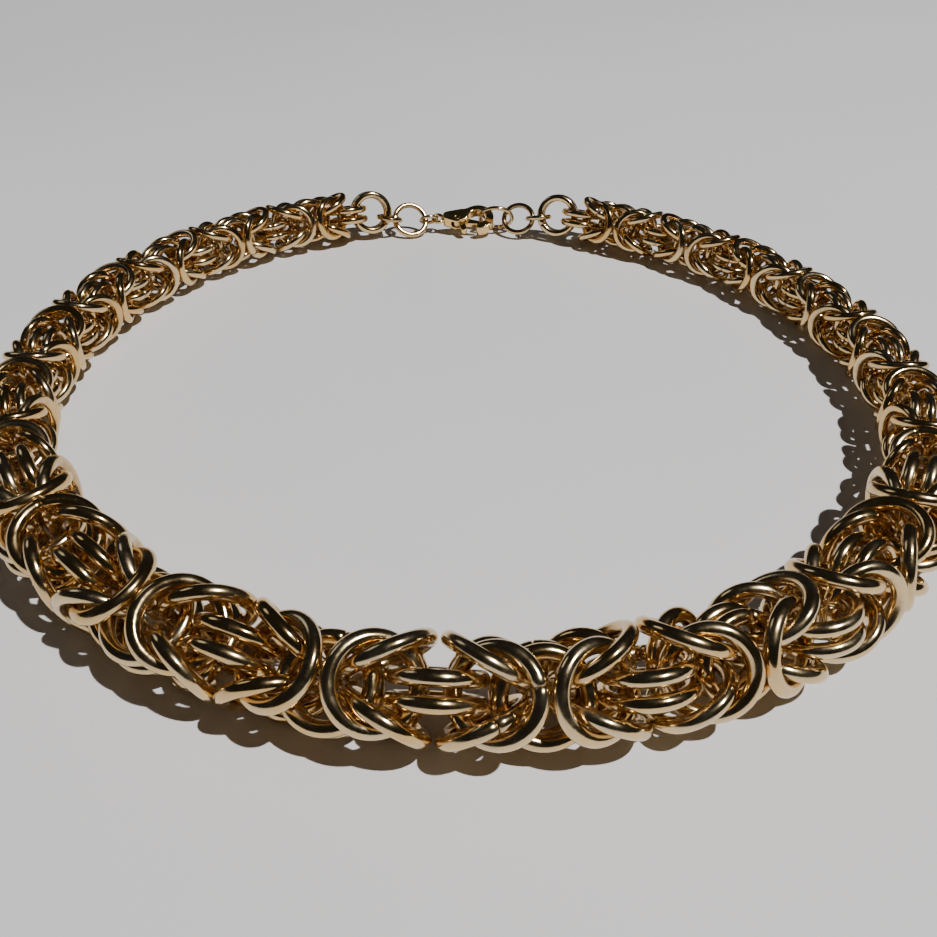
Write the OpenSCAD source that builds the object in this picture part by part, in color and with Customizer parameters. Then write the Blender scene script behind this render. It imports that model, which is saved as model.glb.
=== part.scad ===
// Necklace of a byzantine chain: folded pairs of round links, larger at the
// front, closed at the back with a sprung lobster clasp. All sizes in mm, the
// necklace lies on the floor plane with the front toward -Y and +Z up.

/* [Chain] */

// Wire thickness of the large front links
front_wire = 2.15; // [2.12:0.01:2.17]
// Wire thickness of the small links at the sides and back
back_wire = 1.78; // [1.76:0.01:1.82]
// Number of large knots at the front
front_knots = 13; // [11:2:13]

/* [Clasp] */

// Length of the clasp body from tail to hook
claw_length = 17; // [16.5:0.1:18]
// Thickness of the clasp body
claw_thickness = 3.4; // [3.2:0.1:4]
// Wire thickness of the ring between the left end ring and the clasp
jump_wire = 1.4; // [1.3:0.05:1.5]
// Play between clasp parts
play = 0.12; // [0.1:0.01:0.15]

/* [Hidden] */

// Number of small knots on each side
side_knots = 13;
// Shift that brings the outline's middle over the origin and its lowest
// point to the floor
set_down = [0, 2.07, 0.099];
// Mean radius of a link as a share of its wire, small and large
wire = [back_wire, front_wire];
ring = [back_wire * 2.54, front_wire * 2.52];
// Length of one knot along the chain, nearly one outer ring diameter
pitch = [for (i = [0, 1]) 0.99 * (2 * ring[i] + wire[i])];

// Places of the links in a knot, as shares of the ring radius
pair_half = 0.276;
fold_in = 0.069;
fold_out = 0.663;
fold_tilt = 26.8;
// How the places shift on the bend, as shares of pitch over loop radius
bend_slide = -0.372;
bend_tilt = 24;
bend_pair = 0.14;
bend_yaw = -42;
bend_lift = -1.16;
// Shift of the folded links toward the larger size where the sizes change
size_slide = 0.049;
// Turn of the weave about the chain at the front and at the back
turn_front = 45;
turn_back = 21;
// Pair of links past the last connectors, as shares of the ring radius
end_step = 1.38;
end_half = 0.235;

// Small rings of the clasp: mean radius and wire
end_r = 2.95;
end_w = 1.2;
jump_r = 4.2;
eye_r = 2.2;
eye_w = 0.9;
hook_r = 4.3;
hook_w = 1.1;
loose_r = 3.9;
loose_w = 1.3;

// Clasp body, seen flat: x from tail to hook, y up to the back of the hook
tail_r = 1.35;
tail_w = 1.0;
claw_lean = 24;
claw_swing = -12.85;
claw_z = 3.798;
bow_out = 4.3;
bow_in = 2.4;
bow_t = 2.8;
bow_y = 0.3;
bow_tip = -75;
pivot = [7.2, -0.7];
pin_r = 0.55;
lever_t = 1.5;

sides = round(side_knots);
knots = front_knots + 2 * sides;
half_knots = floor(knots / 2);

function large(k) = k >= sides && k <= sides + front_knots ? 1 : 0;
function station(k) = pitch[0] * k
    + (pitch[1] - pitch[0]) * min(max(k - sides + 0.5, 0), front_knots + 1);
function middle(k) = station(k) + pitch[large(k)] / 2
    + size_slide * ring[1] * (large(k + 1) - large(k));

// Clasp parts follow each other from the left end of the chain
reach = (end_step + 1) * ring[0];
t_end = reach + 0.3;
t_jump = t_end + end_r - end_w / 2 - play - jump_wire / 2 + jump_r;
t_eye = t_jump + jump_r - jump_wire / 2 - play - eye_w / 2 + eye_r;
t_claw = t_eye + eye_r - eye_w / 2 - play - tail_w;
t_hook = t_claw + claw_length - 3.66 + hook_r;
t_loose = t_hook + hook_r - 0.64 - hook_w / 2 - play - loose_w / 2 + loose_r;
t_last = t_loose + loose_r - loose_w / 2 - play - end_w / 2 + end_r;
clasp_span = t_last + 0.4 + reach;

total = station(knots);
loop_r = (total + clasp_span) / (2 * PI);

function angle(st) = (st - total / 2) / loop_r * 180 / PI;
function along(st) = [cos(angle(st)), sin(angle(st)), 0];
function inward(st) = [-sin(angle(st)), cos(angle(st)), 0];
function turn(a) = abs(a) <= 90
    ? -turn_front * (1 - sin(a))
    : turn_back * pow(cos(a), 2) - (a > 0 ? 0 : 2 * turn_front);
function rest(i) = 1.26 * ring[i] + wire[i] / 2;
function rise(u) = u * u * (3 - 2 * u);
function ramp(st) = min(
    (st - station(sides)) / (6 * pitch[0]) + 1,
    (station(sides + front_knots) - st) / (6 * pitch[0]) + 1);
function height(st) = rest(0)
    + (rest(1) - rest(0)) * rise(min(max(ramp(st), 0), 1));
function centre(st) = set_down
    + [loop_r * sin(angle(st)), -loop_r * cos(angle(st)), height(st)];
function across(st, ph) = cos(ph) * inward(st) + sin(ph) * [0, 0, 1];
function upward(st, ph) = -sin(ph) * inward(st) + cos(ph) * [0, 0, 1];
function phase(st, k) = turn(angle(st)) + 90 * k;

module link(r, w) {
    rotate_extrude($fn = 48)
        translate([r, 0])
            circle(d = w, $fn = 24);
}

module link_at(c, n, r, w) {
    translate(c)
        rotate([0, acos(n[2] / norm(n)), atan2(n[1], n[0])])
            link(r, w);
}

// Two links side by side that join one knot to the next
module connectors(k) {
    i = large(k);
    st = station(k);
    b = pitch[i] / loop_r;
    ph = phase(st, k);
    for (sg = [-1, 1])
        link_at(
            centre(st)
                + (sg * pair_half + bend_pair * b * cos(ph)) * ring[i] * across(st, ph)
                - bend_lift * b * sin(ph) * ring[i] * upward(st, ph),
            across(st, ph), ring[i], wire[i]);
}

// Two pairs of links folded back inside one knot
module folds(k) {
    i = min(large(k), large(k + 1));
    b = pitch[i] / loop_r;
    ph0 = phase(middle(k), k);
    for (sg = [-1, 1]) {
        st = middle(k) + (fold_in - bend_slide * b * sg * sin(ph0)) * ring[i];
        ph = phase(st, k);
        tilt = fold_tilt - bend_tilt * b * sg * sin(ph);
        yaw = bend_yaw * b * cos(ph);
        link_at(
            centre(st) + sg * fold_out * ring[i] * upward(st, ph),
            -sg * sin(tilt) * (cos(yaw) * along(st) + sin(yaw) * across(st, ph))
                + cos(tilt) * upward(st, ph),
            ring[i], wire[i]);
    }
    for (sg = [-1, 1]) {
        st = middle(k) - (fold_in + bend_slide * b * sg * cos(ph0)) * ring[i];
        ph = phase(st, k);
        tilt = fold_tilt + bend_tilt * b * sg * cos(ph);
        yaw = bend_yaw * b * sin(ph);
        link_at(
            centre(st) + sg * fold_out * ring[i] * across(st, ph),
            sg * sin(tilt) * (cos(yaw) * along(st) + sin(yaw) * upward(st, ph))
                + cos(tilt) * across(st, ph),
            ring[i], wire[i]);
    }
}

// Last pair of links at an end of the chain
module end_pair(k, way) {
    st = station(k) + way * end_step * ring[0];
    ph = phase(station(k), k);
    for (sg = [-1, 1])
        link_at(
            centre(st) + sg * end_half * ring[0] * upward(st, ph),
            upward(st, ph), ring[0], wire[0]);
}

module chain_left() {
    color("goldenrod") {
        end_pair(0, -1);
        for (k = [0 : half_knots])
            connectors(k);
        for (k = [0 : half_knots - 1])
            folds(k);
    }
}

module chain_right() {
    color("darkgoldenrod") {
        end_pair(knots, 1);
        for (k = [half_knots + 1 : knots])
            connectors(k);
        for (k = [half_knots : knots - 1])
            folds(k);
    }
}

// Place along the back arc: t from the last left connectors, x follows the
// arc to the right, y points out of the loop
module behind(t, h) {
    translate(set_down)
        rotate([0, 0, -(t - clasp_span / 2) / loop_r * 180 / PI])
            translate([0, loop_r, h])
                children();
}

// Ring set out by y, its face raised by the tilt and swung by the swing
module small_ring(t, y, h, tilt, swing, r, w) {
    behind(t, h)
        link_at([0, y, 0],
            [sin(swing) * cos(tilt), -cos(swing) * cos(tilt), sin(tilt)], r, w);
}

module end_ring_left() {
    color("gold")
        small_ring(t_end + 0.1, -0.5, 4.75, 107, -43, end_r, end_w);
}

module clasp_jump_ring() {
    color("gold")
        small_ring(t_jump + 0.05, -0.59, 3.92, 44.75, 7, jump_r, jump_wire);
}

module eye_ring() {
    color("gold")
        small_ring(t_eye + 0.02, -0.05, 3.62, 132.3, 4.3, eye_r, eye_w);
}

module hook_ring() {
    color("gold")
        small_ring(t_hook, 0.16, 4.32, 145.9, 3.1, hook_r, hook_w);
}

module end_ring_right_a() {
    color("gold")
        small_ring(t_loose - 0.18, -0.45, 4.7, 46, -6.9, loose_r, loose_w);
}

module end_ring_right_b() {
    color("gold")
        small_ring(t_last - 0.25, -0.2, 5.4, 113, 27, end_r, end_w);
}

// Flat layout of the clasp, leaning back on its lower edge
module claw_place() {
    behind(t_claw, claw_z)
        translate([tail_r + tail_w / 2, 0, 0])
            rotate([claw_lean, 0, claw_swing])
                translate([-tail_r - tail_w / 2, 0, 0])
                    children();
}

module disc(p, r) {
    translate(p)
        circle(r, $fn = 40);
}

bow_x = claw_length - bow_out;

// Outline of the hook, with its mouth open toward the lever
module clasp_bow() {
    difference() {
        union() {
            disc([bow_x, bow_y], bow_out);
            hull() {
                disc([bow_x - 4.3, 0.8], 1.8);
                disc([bow_x - 2.2, 2.5], 1.2);
            }
        }
        disc([bow_x - 0.2, bow_y + 0.15], bow_in);
        // Mouth that the lever closes
        translate([bow_x, bow_y])
            polygon([
                [0.3, -0.6], [9 * cos(bow_tip), 9 * sin(bow_tip)],
                [-9, -9], [-9, -0.9]]);
    }
    disc([bow_x + 3.3 * cos(bow_tip), bow_y + 3.3 * sin(bow_tip)], 0.98);
}

module clasp_body() {
    color("gold")
        claw_place()
            difference() {
                union() {
                    translate([tail_r + tail_w / 2, 0, 0])
                        link(tail_r, tail_w);
                    translate([0, 0, -claw_thickness / 2])
                        linear_extrude(claw_thickness)
                            difference() {
                                hull() {
                                    disc([2 * tail_r + tail_w + 0.9, 0], 1.4);
                                    disc([bow_x - 4.3, 0.7], 1.95);
                                    disc(pivot, 1.5);
                                }
                                disc([bow_x - 0.2, bow_y + 0.15], bow_in + 0.1);
                            }
                    translate([0, 0, -bow_t / 2])
                        linear_extrude(bow_t)
                            clasp_bow();
                }
                // Slot that holds the lever
                translate([pivot[0] - 1.45, -4, -lever_t / 2 - play])
                    cube([bow_x - 0.9 - pivot[0], 5, lever_t + 2 * play]);
                // Hole for the pin
                translate([pivot[0], pivot[1], -claw_thickness])
                    cylinder(h = 2 * claw_thickness, r = pin_r + 0.05, $fn = 32);
            }
}

module clasp_lever() {
    color("gold")
        claw_place()
            difference() {
                translate([0, 0, -lever_t / 2])
                    linear_extrude(lever_t)
                        union() {
                            hull() {
                                disc(pivot, 1.15);
                                disc([bow_x + 0.2, -1.15], 0.6);
                            }
                            hull() {
                                disc([pivot[0] + 1, pivot[1] - 0.3], 0.85);
                                disc([pivot[0] + 2.1, pivot[1] - 2.8], 0.8);
                            }
                        }
                translate([pivot[0], pivot[1], -lever_t])
                    cylinder(h = 2 * lever_t, r = pin_r + play / 2, $fn = 32);
            }
}

module clasp_pin() {
    color("gold")
        claw_place()
            translate([pivot[0], pivot[1], -claw_thickness / 2])
                cylinder(h = claw_thickness, r = pin_r, $fn = 32);
}

chain_left();
chain_right();
end_ring_left();
clasp_jump_ring();
eye_ring();
clasp_body();
clasp_lever();
clasp_pin();
hook_ring();
end_ring_right_a();
end_ring_right_b();
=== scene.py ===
import math

import bmesh
import bpy
import numpy as np
from mathutils import Matrix, Vector


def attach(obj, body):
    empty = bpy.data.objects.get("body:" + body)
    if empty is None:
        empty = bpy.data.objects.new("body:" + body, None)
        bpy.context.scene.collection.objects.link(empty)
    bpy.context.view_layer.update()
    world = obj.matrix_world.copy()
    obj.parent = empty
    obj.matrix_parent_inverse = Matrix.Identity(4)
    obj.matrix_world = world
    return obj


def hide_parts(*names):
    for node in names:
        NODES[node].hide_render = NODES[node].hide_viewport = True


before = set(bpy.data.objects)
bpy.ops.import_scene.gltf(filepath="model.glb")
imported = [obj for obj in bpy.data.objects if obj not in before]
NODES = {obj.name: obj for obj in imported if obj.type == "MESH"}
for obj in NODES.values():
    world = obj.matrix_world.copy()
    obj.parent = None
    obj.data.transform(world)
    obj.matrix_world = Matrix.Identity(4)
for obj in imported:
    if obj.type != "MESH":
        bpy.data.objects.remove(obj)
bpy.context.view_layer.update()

MM = 0.001
FULL_TURN = 2 * math.pi


# ---------------------------------------------------------------- node trees

class Flow:
    """One value that runs through a node tree, so that a sum is written as a sum."""

    def __init__(self, plan, socket):
        self.plan = plan
        self.socket = socket

    def also(self, name):
        return Flow(self.plan, self.socket.node.outputs[name])

    def sum(self, way, first, second):
        return self.plan.node("ShaderNodeMath", {"operation": way}, {0: first, 1: second})

    def __add__(self, other):
        return self.sum("ADD", self, other)

    def __radd__(self, other):
        return self.sum("ADD", other, self)

    def __sub__(self, other):
        return self.sum("SUBTRACT", self, other)

    def __rsub__(self, other):
        return self.sum("SUBTRACT", other, self)

    def __mul__(self, other):
        return self.sum("MULTIPLY", self, other)

    def __rmul__(self, other):
        return self.sum("MULTIPLY", other, self)

    def __truediv__(self, other):
        return self.sum("DIVIDE", self, other)

    def __pow__(self, other):
        return self.sum("POWER", self, other)

    def above(self, other):
        return self.sum("GREATER_THAN", self, other)

    def most(self, other):
        return self.sum("MAXIMUM", self, other)

    def least(self, other):
        return self.sum("MINIMUM", self, other)


class Plan:
    """A node tree of a material or of a shape, filled one node at a time."""

    def __init__(self, tree):
        self.tree = tree

    def node(self, kind, settings=None, sockets=None, out=0):
        made = self.tree.nodes.new(kind)
        for name, value in (settings or {}).items():
            setattr(made, name, value)
        for key, value in (sockets or {}).items():
            if isinstance(value, Flow):
                self.tree.links.new(value.socket, made.inputs[key])
            else:
                made.inputs[key].default_value = value
        return Flow(self, made.outputs[out]) if made.outputs else made

    def vector(self, way, first, second, out=0):
        return self.node("ShaderNodeVectorMath", {"operation": way}, {0: first, 1: second}, out)

    def join(self, x, y, z):
        return self.node("ShaderNodeCombineXYZ", None, {0: x, 1: y, 2: z})

    def clamp(self, value, low, high, new_low=0.0, new_high=1.0, soft=False):
        shape = "SMOOTHSTEP" if soft else "LINEAR"
        return self.node(
            "ShaderNodeMapRange",
            {"interpolation_type": shape, "clamp": True},
            {"Value": value, "From Min": low, "From Max": high, "To Min": new_low, "To Max": new_high},
        )

    def blend(self, share, first, second):
        return self.node(
            "ShaderNodeMix",
            {"data_type": "RGBA", "blend_type": "MIX", "clamp_factor": True},
            {0: share, 6: first, 7: second},
            out=2,
        )

    def noise(self, place, scale, detail=2.0, rough=0.5):
        return self.node(
            "ShaderNodeTexNoise",
            {"noise_dimensions": "3D"},
            {"Vector": place, "Scale": scale, "Detail": detail, "Roughness": rough},
        )


# ---------------------------------------------------------------- metal

def colour(red, green, blue):
    """A solid colour as the shader sockets take it."""
    return (red, green, blue, 1.0)


def start_metal(name):
    made = bpy.data.materials.new(name)
    made.use_nodes = True
    made.node_tree.nodes.clear()
    return made, Plan(made.node_tree)


def finish_metal(plan, base, rough, height, depth):
    bump = plan.node(
        "ShaderNodeBump", None, {"Strength": 1.0, "Distance": depth, "Height": height}
    )
    shader = plan.node(
        "ShaderNodeBsdfPrincipled",
        None,
        {"Base Color": base, "Metallic": 1.0, "Roughness": rough, "Normal": bump},
    )
    plan.node("ShaderNodeOutputMaterial", None, {"Surface": shader})


def wire_metal(name, gold, pale, brown, gloss, tarnish_and_shade_depth):
    """Drawn and polished wire: lines run along it, the inside of a link is darkened as painted shade."""
    made, plan = start_metal(name)
    place = plan.node("ShaderNodeTexCoord").also("Object")

    def mark(word):
        return plan.node(
            "ShaderNodeAttribute", {"attribute_name": word}
        ).also("Fac")

    tone = mark("link_tone")
    inner = mark("link_inner")
    side = mark("link_side")
    along = mark("link_along")
    seam = mark("link_seam")

    # Faint lines that the drawing plate leaves along the wire
    lines = plan.noise(plan.join(inner * 7 + tone * 40, side * 7, along * 260), 1.0, 3.0, 0.6)
    # Polish that came out uneven, and the dullness of handling
    cloud = plan.noise(place, 340.0, 3.0, 0.55)
    speck = plan.noise(place, 2600.0, 2.0, 0.6)
    dull = plan.clamp(cloud, 0.42, 0.68, soft=True)

    # Painted shade: the inside of each link is darkened, broken up by the cloud noise; below it is mixed
    # with the real dullness of handling and the dirt in the cut
    shaded = plan.clamp(inner + (cloud - 0.5) * 2.2, 0.1, 1.0, soft=True)
    seam_dirt = plan.clamp(seam, 0.0, 0.55 * MM, 1.0, 0.0, soft=True)
    tarnish_and_shade = (shaded * 0.55 + dull * 0.35 + seam_dirt * 0.5).least(1.0) * tarnish_and_shade_depth

    worn = plan.blend(plan.clamp(cloud + (tone - 0.5) * 0.3, 0.35, 0.7), gold, pale)
    base = plan.blend(tarnish_and_shade, worn, brown)
    rough = gloss + dull * 0.07 + tarnish_and_shade * 0.12 + plan.clamp(speck, 0.55, 0.75) * 0.06 + tone * 0.03
    height = lines * 0.35 + speck * 0.25 + cloud * 0.9 - seam_dirt * 0.3
    finish_metal(plan, base, rough, height, 0.02 * MM)
    return made


def cast_metal(name, gold, pale, brown, gloss, tarnish_and_shade_depth):
    """Cast and tumbled metal: soft dimples and cloudy tarnish, with painted shade darkening the hollows so
    the raised parts stay brighter.
    """
    made, plan = start_metal(name)
    place = plan.node("ShaderNodeTexCoord").also("Object")
    cloud = plan.noise(place, 420.0, 3.0, 0.55)
    speck = plan.noise(place, 3000.0, 2.0, 0.6)
    scratch = plan.noise(plan.vector("MULTIPLY", place, (900.0, 5200.0, 5200.0)), 1.0, 2.0, 0.5)
    # Painted shade: the hollows, found by pointiness, are darkened; below this is mixed with cloudy
    # tarnish patches
    hollow = plan.clamp(
        plan.node("ShaderNodeNewGeometry").also("Pointiness"), 0.44, 0.5, 1.0, 0.0
    )
    tarnish_and_shade = (hollow * 0.6 + plan.clamp(cloud, 0.5, 0.75) * 0.5).least(1.0) * tarnish_and_shade_depth
    worn = plan.blend(plan.clamp(cloud, 0.35, 0.65), gold, pale)
    base = plan.blend(tarnish_and_shade, worn, brown)
    rough = gloss + plan.clamp(cloud, 0.4, 0.7) * 0.08 + plan.clamp(speck, 0.5, 0.75) * 0.06
    finish_metal(plan, base, rough, cloud * 0.5 + speck * 0.12 + scratch * 0.1, 0.012 * MM)
    return made


chain_metal = wire_metal(
    "chain_wire_antique_gold",
    colour(0.78, 0.52, 0.22), colour(0.82, 0.66, 0.40), colour(0.32, 0.16, 0.05), 0.105, 0.65,
)
ring_metal = wire_metal(
    "end_ring_wire_antique_gold",
    colour(0.60, 0.41, 0.19), colour(0.74, 0.57, 0.34), colour(0.26, 0.14, 0.05), 0.12, 0.8,
)
clasp_metal = cast_metal(
    "clasp_bright_gold",
    colour(0.86, 0.56, 0.20), colour(0.88, 0.66, 0.32), colour(0.36, 0.17, 0.05), 0.10, 0.45,
)


# ---------------------------------------------------------------- where the links lie

def solids_of(node):
    """The corner points of each closed solid in a node, as arrays."""
    mesh = NODES[node].data
    spots = np.empty(len(mesh.vertices) * 3, np.float32)
    mesh.vertices.foreach_get("co", spots)
    corners = np.empty(len(mesh.loops), np.int32)
    mesh.loops.foreach_get("vertex_index", corners)
    grid = np.round(spots.reshape(-1, 3) * 1e6).astype(np.int64) + 500000
    keys, where = np.unique(grid @ np.array([1, 2 ** 20, 2 ** 40]), return_inverse=True)
    faces = where[corners].reshape(-1, 3)
    group = np.arange(len(keys))
    while True:
        lowest = group.copy()
        np.minimum.at(lowest, faces.ravel(), np.repeat(group[faces].min(axis=1), 3))
        lowest = lowest[lowest]
        if np.array_equal(lowest, group):
            break
        group = lowest
    points = np.empty((len(keys), 3))
    points[where] = spots.reshape(-1, 3)
    order = np.argsort(group, kind="stable")
    cuts = np.flatnonzero(np.diff(group[order])) + 1
    return [points[part] for part in np.split(order, cuts)]


def link_from(points):
    """Centre, axle, ring radius and wire thickness of a ring of round wire."""
    centre = points.mean(axis=0)
    spread = points - centre
    axle = np.linalg.eigh(spread.T @ spread)[1][:, 0]
    flat = spread - np.outer(spread @ axle, axle)
    reach = np.linalg.norm(flat, axis=1)
    return centre, axle, (reach.max() + reach.min()) / 2, reach.max() - reach.min()


# ---------------------------------------------------------------- the shape of a link

def link_shape():
    """Bends round wire into rings, one on each point, each cut through once and closed by hand."""
    tree = bpy.data.node_groups.new("bent_links", "GeometryNodeTree")
    tree.is_modifier = True
    face = tree.interface
    face.new_socket(name="Places", in_out="INPUT", socket_type="NodeSocketGeometry")
    for name, kind, value in (
        ("Steps Round a Link", "NodeSocketInt", 50),
        ("Sides of the Wire", "NodeSocketInt", 15),
        ("Cut Width", "NodeSocketFloat", 0.016),
        ("Filed Edge", "NodeSocketFloat", 0.028),
        ("Filed Share", "NodeSocketFloat", 0.86),
    ):
        made = face.new_socket(name=name, in_out="INPUT", socket_type=kind)
        made.default_value = value
    face.new_socket(name="Metal", in_out="INPUT", socket_type="NodeSocketMaterial")
    face.new_socket(name="Links", in_out="OUTPUT", socket_type="NodeSocketGeometry")

    plan = Plan(tree)
    given = plan.node("NodeGroupInput")
    steps = given.also("Steps Round a Link")
    cut = given.also("Cut Width")
    edge = given.also("Filed Edge")

    def named(word, kind="FLOAT"):
        return plan.node("GeometryNodeInputNamedAttribute", {"data_type": kind}, {"Name": word})

    def store(shape, word, value, kind="FLOAT"):
        return plan.node(
            "GeometryNodeStoreNamedAttribute",
            {"data_type": kind, "domain": "POINT"},
            {"Geometry": shape, "Name": word, "Value": value},
        )

    # One turn of wire about the z axis, with an extra step at each end for the filed edge
    line = plan.node("GeometryNodeMeshLine", {"mode": "OFFSET"}, {"Count": steps + 1})
    turn_wire = plan.node("GeometryNodeMeshToCurve", None, {"Mesh": line})
    step = plan.node("GeometryNodeInputIndex") + 0.0
    inside = plan.clamp((step - 1) / (steps - 2), 0.0, 1.0)
    angle = (
        cut / 2
        + edge * step.least(1.0)
        + edge * (step - steps + 1).most(0.0)
        + inside * (FULL_TURN - cut - 2 * edge)
    )
    round_x = plan.node("ShaderNodeMath", {"operation": "COSINE"}, {0: angle})
    round_y = plan.node("ShaderNodeMath", {"operation": "SINE"}, {0: angle})
    turn_wire = plan.node(
        "GeometryNodeSetPosition",
        None,
        {"Geometry": turn_wire, "Position": plan.join(round_x, round_y, 0.0)},
    )
    end = (step.above(0.5)) * ((steps - step).above(0.5))
    filed = given.also("Filed Share")
    turn_wire = store(turn_wire, "share", end * (1 - filed) + filed)
    turn_wire = store(turn_wire, "angle", angle)

    # A turn on each place, then the wire's thickness
    placed = plan.node(
        "GeometryNodeInstanceOnPoints",
        None,
        {
            "Points": given.also("Places"),
            "Instance": turn_wire,
            "Rotation": plan.node("FunctionNodeEulerToRotation", None, {0: named("turn", "FLOAT_VECTOR")}),
            "Scale": plan.join(named("ring"), named("ring"), named("ring")),
        },
    )
    laid = plan.node("GeometryNodeRealizeInstances", None, {"Geometry": placed})
    section = plan.node(
        "GeometryNodeCurvePrimitiveCircle",
        {"mode": "RADIUS"},
        {"Resolution": given.also("Sides of the Wire"), "Radius": 1.0},
    )
    solid = plan.node(
        "GeometryNodeCurveToMesh",
        None,
        {
            "Curve": laid,
            "Profile Curve": section,
            "Scale": named("wire") / 2 * named("share"),
            "Fill Caps": True,
        },
    )

    # How far each point lies from its link's own circle, for the metal
    away = plan.vector("SUBTRACT", plan.node("GeometryNodeInputPosition"), named("middle", "FLOAT_VECTOR"))
    axle = named("axle", "FLOAT_VECTOR")
    height = plan.vector("DOT_PRODUCT", away, axle, out="Value")
    long = plan.vector("LENGTH", away, (0.0, 0.0, 0.0), out="Value")
    reach = ((long * long - height * height).most(0.0)) ** 0.5
    half = named("wire") / 2
    around = named("angle")
    solid = store(solid, "link_inner", (named("ring") - reach) / half)
    solid = store(solid, "link_side", height / half)
    solid = store(solid, "link_along", around * named("ring"))
    solid = store(solid, "link_seam", around.least(FULL_TURN - around) * named("ring"))
    solid = store(solid, "link_tone", named("tone"))
    solid = plan.node("GeometryNodeSetShadeSmooth", None, {"Geometry": solid, "Shade Smooth": True})
    solid = plan.node("GeometryNodeRealizeInstances", None, {"Geometry": solid})
    solid = plan.node(
        "GeometryNodeSetMaterial", None, {"Geometry": solid, "Material": given.also("Metal")}
    )
    plan.node("NodeGroupOutput", None, {"Links": solid})
    return tree


LINKS = link_shape()
chance = np.random.default_rng(11)
NEAR_RINGS = 1.5        # how far a neighbour's centre may lie, in ring radii
CENTRED = 0.12          # a ring nearer than this to its neighbours' middle counts as centred
OPEN_CUTS = 0.08        # share of the cuts that face anywhere
CUT_JITTER = 0.4        # how far a hidden cut strays, in radians


def cut_sides(found):
    """Which way the cut of each ring points: mostly in towards its neighbours, where it is hidden."""
    centres = np.array([link[0] for link in found])
    ways = []
    for centre, axle, ring, _ in found:
        apart = np.linalg.norm(centres - centre, axis=1)
        near = centres[apart < NEAR_RINGS * ring].mean(axis=0) - centre
        inward = near - axle * (near @ axle)
        onward = np.cross((0.0, 0.0, 1.0), centre)
        onward = onward - axle * (onward @ axle)
        if np.linalg.norm(inward) < CENTRED * ring:
            inward = onward
        open_side = chance.uniform(-math.pi, math.pi) if chance.random() < OPEN_CUTS else 0.0
        turn = open_side + chance.uniform(-CUT_JITTER, CUT_JITTER)
        way = Vector(inward).normalized()
        way.rotate(Matrix.Rotation(turn, 3, Vector(axle)))
        ways.append(way)
    return ways


def bend_links(name, nodes, metal, sizes=None):
    """Makes the rings of these nodes from wire, each where its own solid lies."""
    found = [link_from(points) for node in nodes for points in solids_of(node)]
    mesh = bpy.data.meshes.new(name + "_places")
    mesh.from_pydata([tuple(link[0]) for link in found], [], [])
    values = {"turn": [], "middle": [], "axle": [], "ring": [], "wire": [], "tone": []}
    for (centre, axle, ring, wire), across in zip(found, cut_sides(found)):
        frame_turn = Matrix((across, Vector(axle).cross(across), Vector(axle))).transposed()
        values["turn"].append(tuple(frame_turn.to_euler()))
        values["middle"].append(tuple(centre))
        values["axle"].append(tuple(axle))
        values["ring"].append(ring)
        values["wire"].append(wire)
        values["tone"].append(chance.uniform(0, 1))
    for word, numbers in values.items():
        kind = "FLOAT_VECTOR" if isinstance(numbers[0], tuple) else "FLOAT"
        layer = mesh.attributes.new(word, kind, "POINT")
        layer.data.foreach_set("vector" if kind == "FLOAT_VECTOR" else "value", np.ravel(numbers))
    source = bpy.data.objects.new(name + "_places", mesh)
    bpy.context.scene.collection.objects.link(source)
    bender = source.modifiers.new("bent_links", "NODES")
    bender.node_group = LINKS
    for item in LINKS.interface.items_tree:
        if item.name == "Metal":
            bender[item.identifier] = metal
        elif sizes and item.name in sizes:
            bender[item.identifier] = sizes[item.name]
    ready = source.evaluated_get(bpy.context.evaluated_depsgraph_get())
    solid = bpy.data.meshes.new_from_object(ready)
    source.modifiers.remove(bender)
    bpy.data.objects.remove(source)
    for word in ("turn", "middle", "axle", "ring", "wire", "tone", "share", "angle"):
        if word in solid.attributes:
            solid.attributes.remove(solid.attributes[word])
    return add_piece(name, solid, metal, "necklace", nodes)


def add_piece(name, mesh, metal, body, nodes):
    mesh.name = name
    mesh.materials.clear()
    mesh.materials.append(metal)
    piece = bpy.data.objects.new(name, mesh)
    bpy.context.scene.collection.objects.link(piece)
    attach(piece, body)
    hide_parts(*nodes)
    return piece


FINE = {"Steps Round a Link": 72, "Sides of the Wire": 24}
bend_links("links_of_the_left_half", ["chain_left"], chain_metal)
bend_links("links_of_the_right_half", ["chain_right"], chain_metal)
for ring_node in ("end_ring_left", "clasp_jump_ring", "eye_ring", "hook_ring",
                  "end_ring_right_a", "end_ring_right_b"):
    bend_links(ring_node + "_wire", [ring_node], ring_metal, FINE)


# ---------------------------------------------------------------- the clasp

def soften(node, name, body, grain, rounds):
    """A cast copy of a clasp part: remeshed at this grain, its edges rounded over in so many rounds."""
    mesh = NODES[node].data.copy()
    shape = bmesh.new()
    shape.from_mesh(mesh)
    bmesh.ops.remove_doubles(shape, verts=shape.verts, dist=0.002 * MM)
    bmesh.ops.recalc_face_normals(shape, faces=shape.faces)
    shape.to_mesh(mesh)
    shape.free()
    source = bpy.data.objects.new(name + "_rough", mesh)
    bpy.context.scene.collection.objects.link(source)
    cast = source.modifiers.new("cast", "REMESH")
    cast.mode = "VOXEL"
    cast.voxel_size = grain
    cast.use_smooth_shade = True
    tumble = source.modifiers.new("tumble", "SMOOTH")
    tumble.factor = 0.5
    tumble.iterations = rounds
    ready = source.evaluated_get(bpy.context.evaluated_depsgraph_get())
    solid = bpy.data.meshes.new_from_object(ready)
    bpy.data.objects.remove(source)
    solid.shade_smooth()
    return add_piece(name, solid, clasp_metal, body, [node])


soften("clasp_body", "clasp_body_cast", "necklace", 0.1 * MM, 45)
soften("clasp_lever", "clasp_lever_cast", "lever", 0.08 * MM, 14)
soften("clasp_pin", "clasp_pin_riveted", "necklace", 0.05 * MM, 4)


# ---------------------------------------------------------------- floor, light, camera

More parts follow.
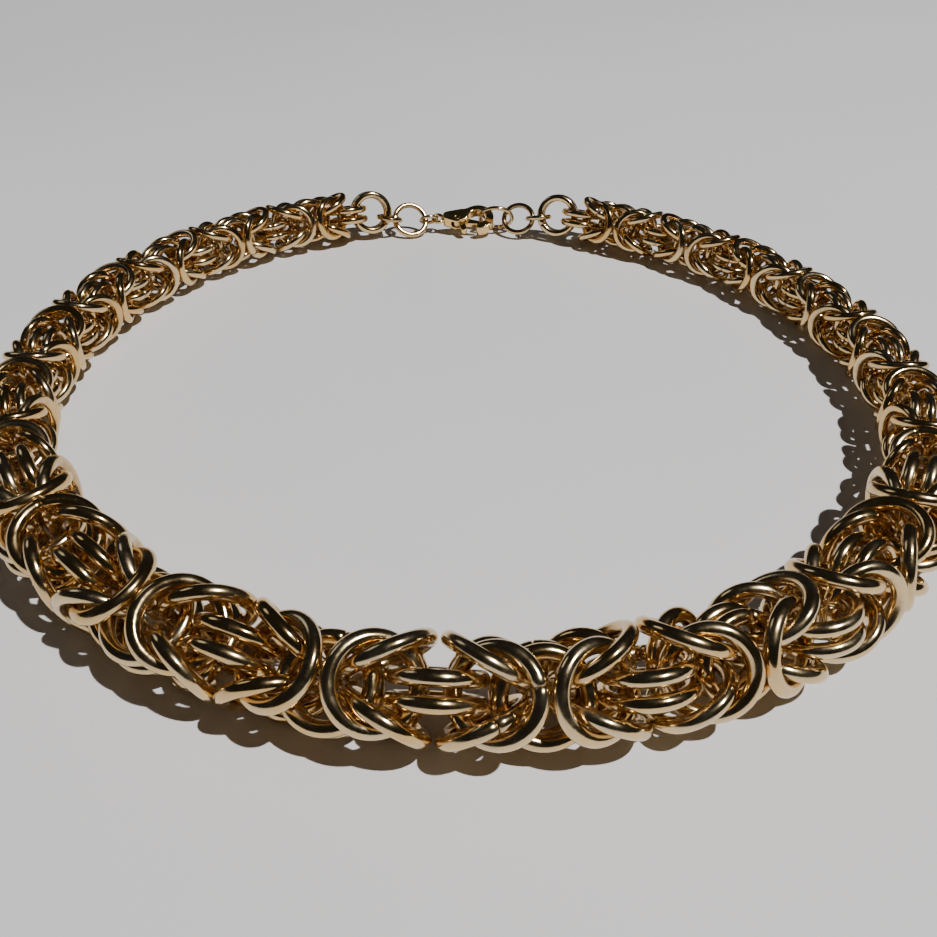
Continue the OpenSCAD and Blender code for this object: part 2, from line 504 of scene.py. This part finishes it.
def floor_finish():
    made, plan = start_metal("pale_card")
    place = plan.node("ShaderNodeTexCoord").also("Object")
    cloud = plan.noise(place, 6.0, 3.0)
    base = plan.blend(plan.clamp(cloud, 0.3, 0.7), colour(0.70, 0.695, 0.71), colour(0.74, 0.73, 0.745))
    shader = plan.node("ShaderNodeBsdfPrincipled", None, {"Base Color": base, "Roughness": 0.65})
    plan.node("ShaderNodeOutputMaterial", None, {"Surface": shader})
    return made


def lay_floor(half):
    mesh = bpy.data.meshes.new("floor")
    mesh.from_pydata(
        [(-half, -half, 0), (half, -half, 0), (half, half, 0), (-half, half, 0)], [], [(0, 1, 2, 3)]
    )
    mesh.materials.append(floor_finish())
    floor = bpy.data.objects.new("floor", mesh)
    bpy.context.scene.collection.objects.link(floor)


def soft_light(name, place, size, power, tint):
    lamp = bpy.data.lights.new(name, "AREA")
    lamp.shape = "DISK"
    lamp.size = size
    lamp.energy = power
    lamp.color = tint
    made = bpy.data.objects.new(name, lamp)
    made.location = place
    made.rotation_euler = (-Vector(place)).to_track_quat("-Z", "Y").to_euler()
    bpy.context.scene.collection.objects.link(made)


def set_room(strength):
    room = bpy.data.worlds.new("studio")
    room.use_nodes = True
    back = room.node_tree.nodes["Background"]
    back.inputs["Color"].default_value = (0.80, 0.87, 1.0, 1.0)
    back.inputs["Strength"].default_value = strength
    bpy.context.scene.world = room


def set_camera(place, heading, down, roll, lens):
    eye = bpy.data.cameras.new("photo_view")
    eye.sensor_width = 36.0
    eye.sensor_fit = "HORIZONTAL"
    eye.lens = lens
    eye.clip_start = 0.001
    made = bpy.data.objects.new("photo_view", eye)
    turn = (
        Matrix.Rotation(math.radians(heading), 4, "Z")
        @ Matrix.Rotation(math.radians(90 - down), 4, "X")
        @ Matrix.Rotation(math.radians(roll), 4, "Z")
    )
    made.matrix_world = Matrix.Translation(place) @ turn
    bpy.context.scene.collection.objects.link(made)
    bpy.context.scene.camera = made


FLOOR_HALF = 2.5
lay_floor(FLOOR_HALF)
soft_light("key", (0.98, -0.55, 2.23), 0.055, 84.0, (1.0, 0.985, 0.96))
soft_light("window", (-1.6, 1.1, 1.5), 0.9, 1.5, (0.90, 0.95, 1.0))
set_room(0.018)
set_camera(Vector((-0.00612, -0.14706, 0.09283)), -2.33, 37.03, 1.76, 33.6)
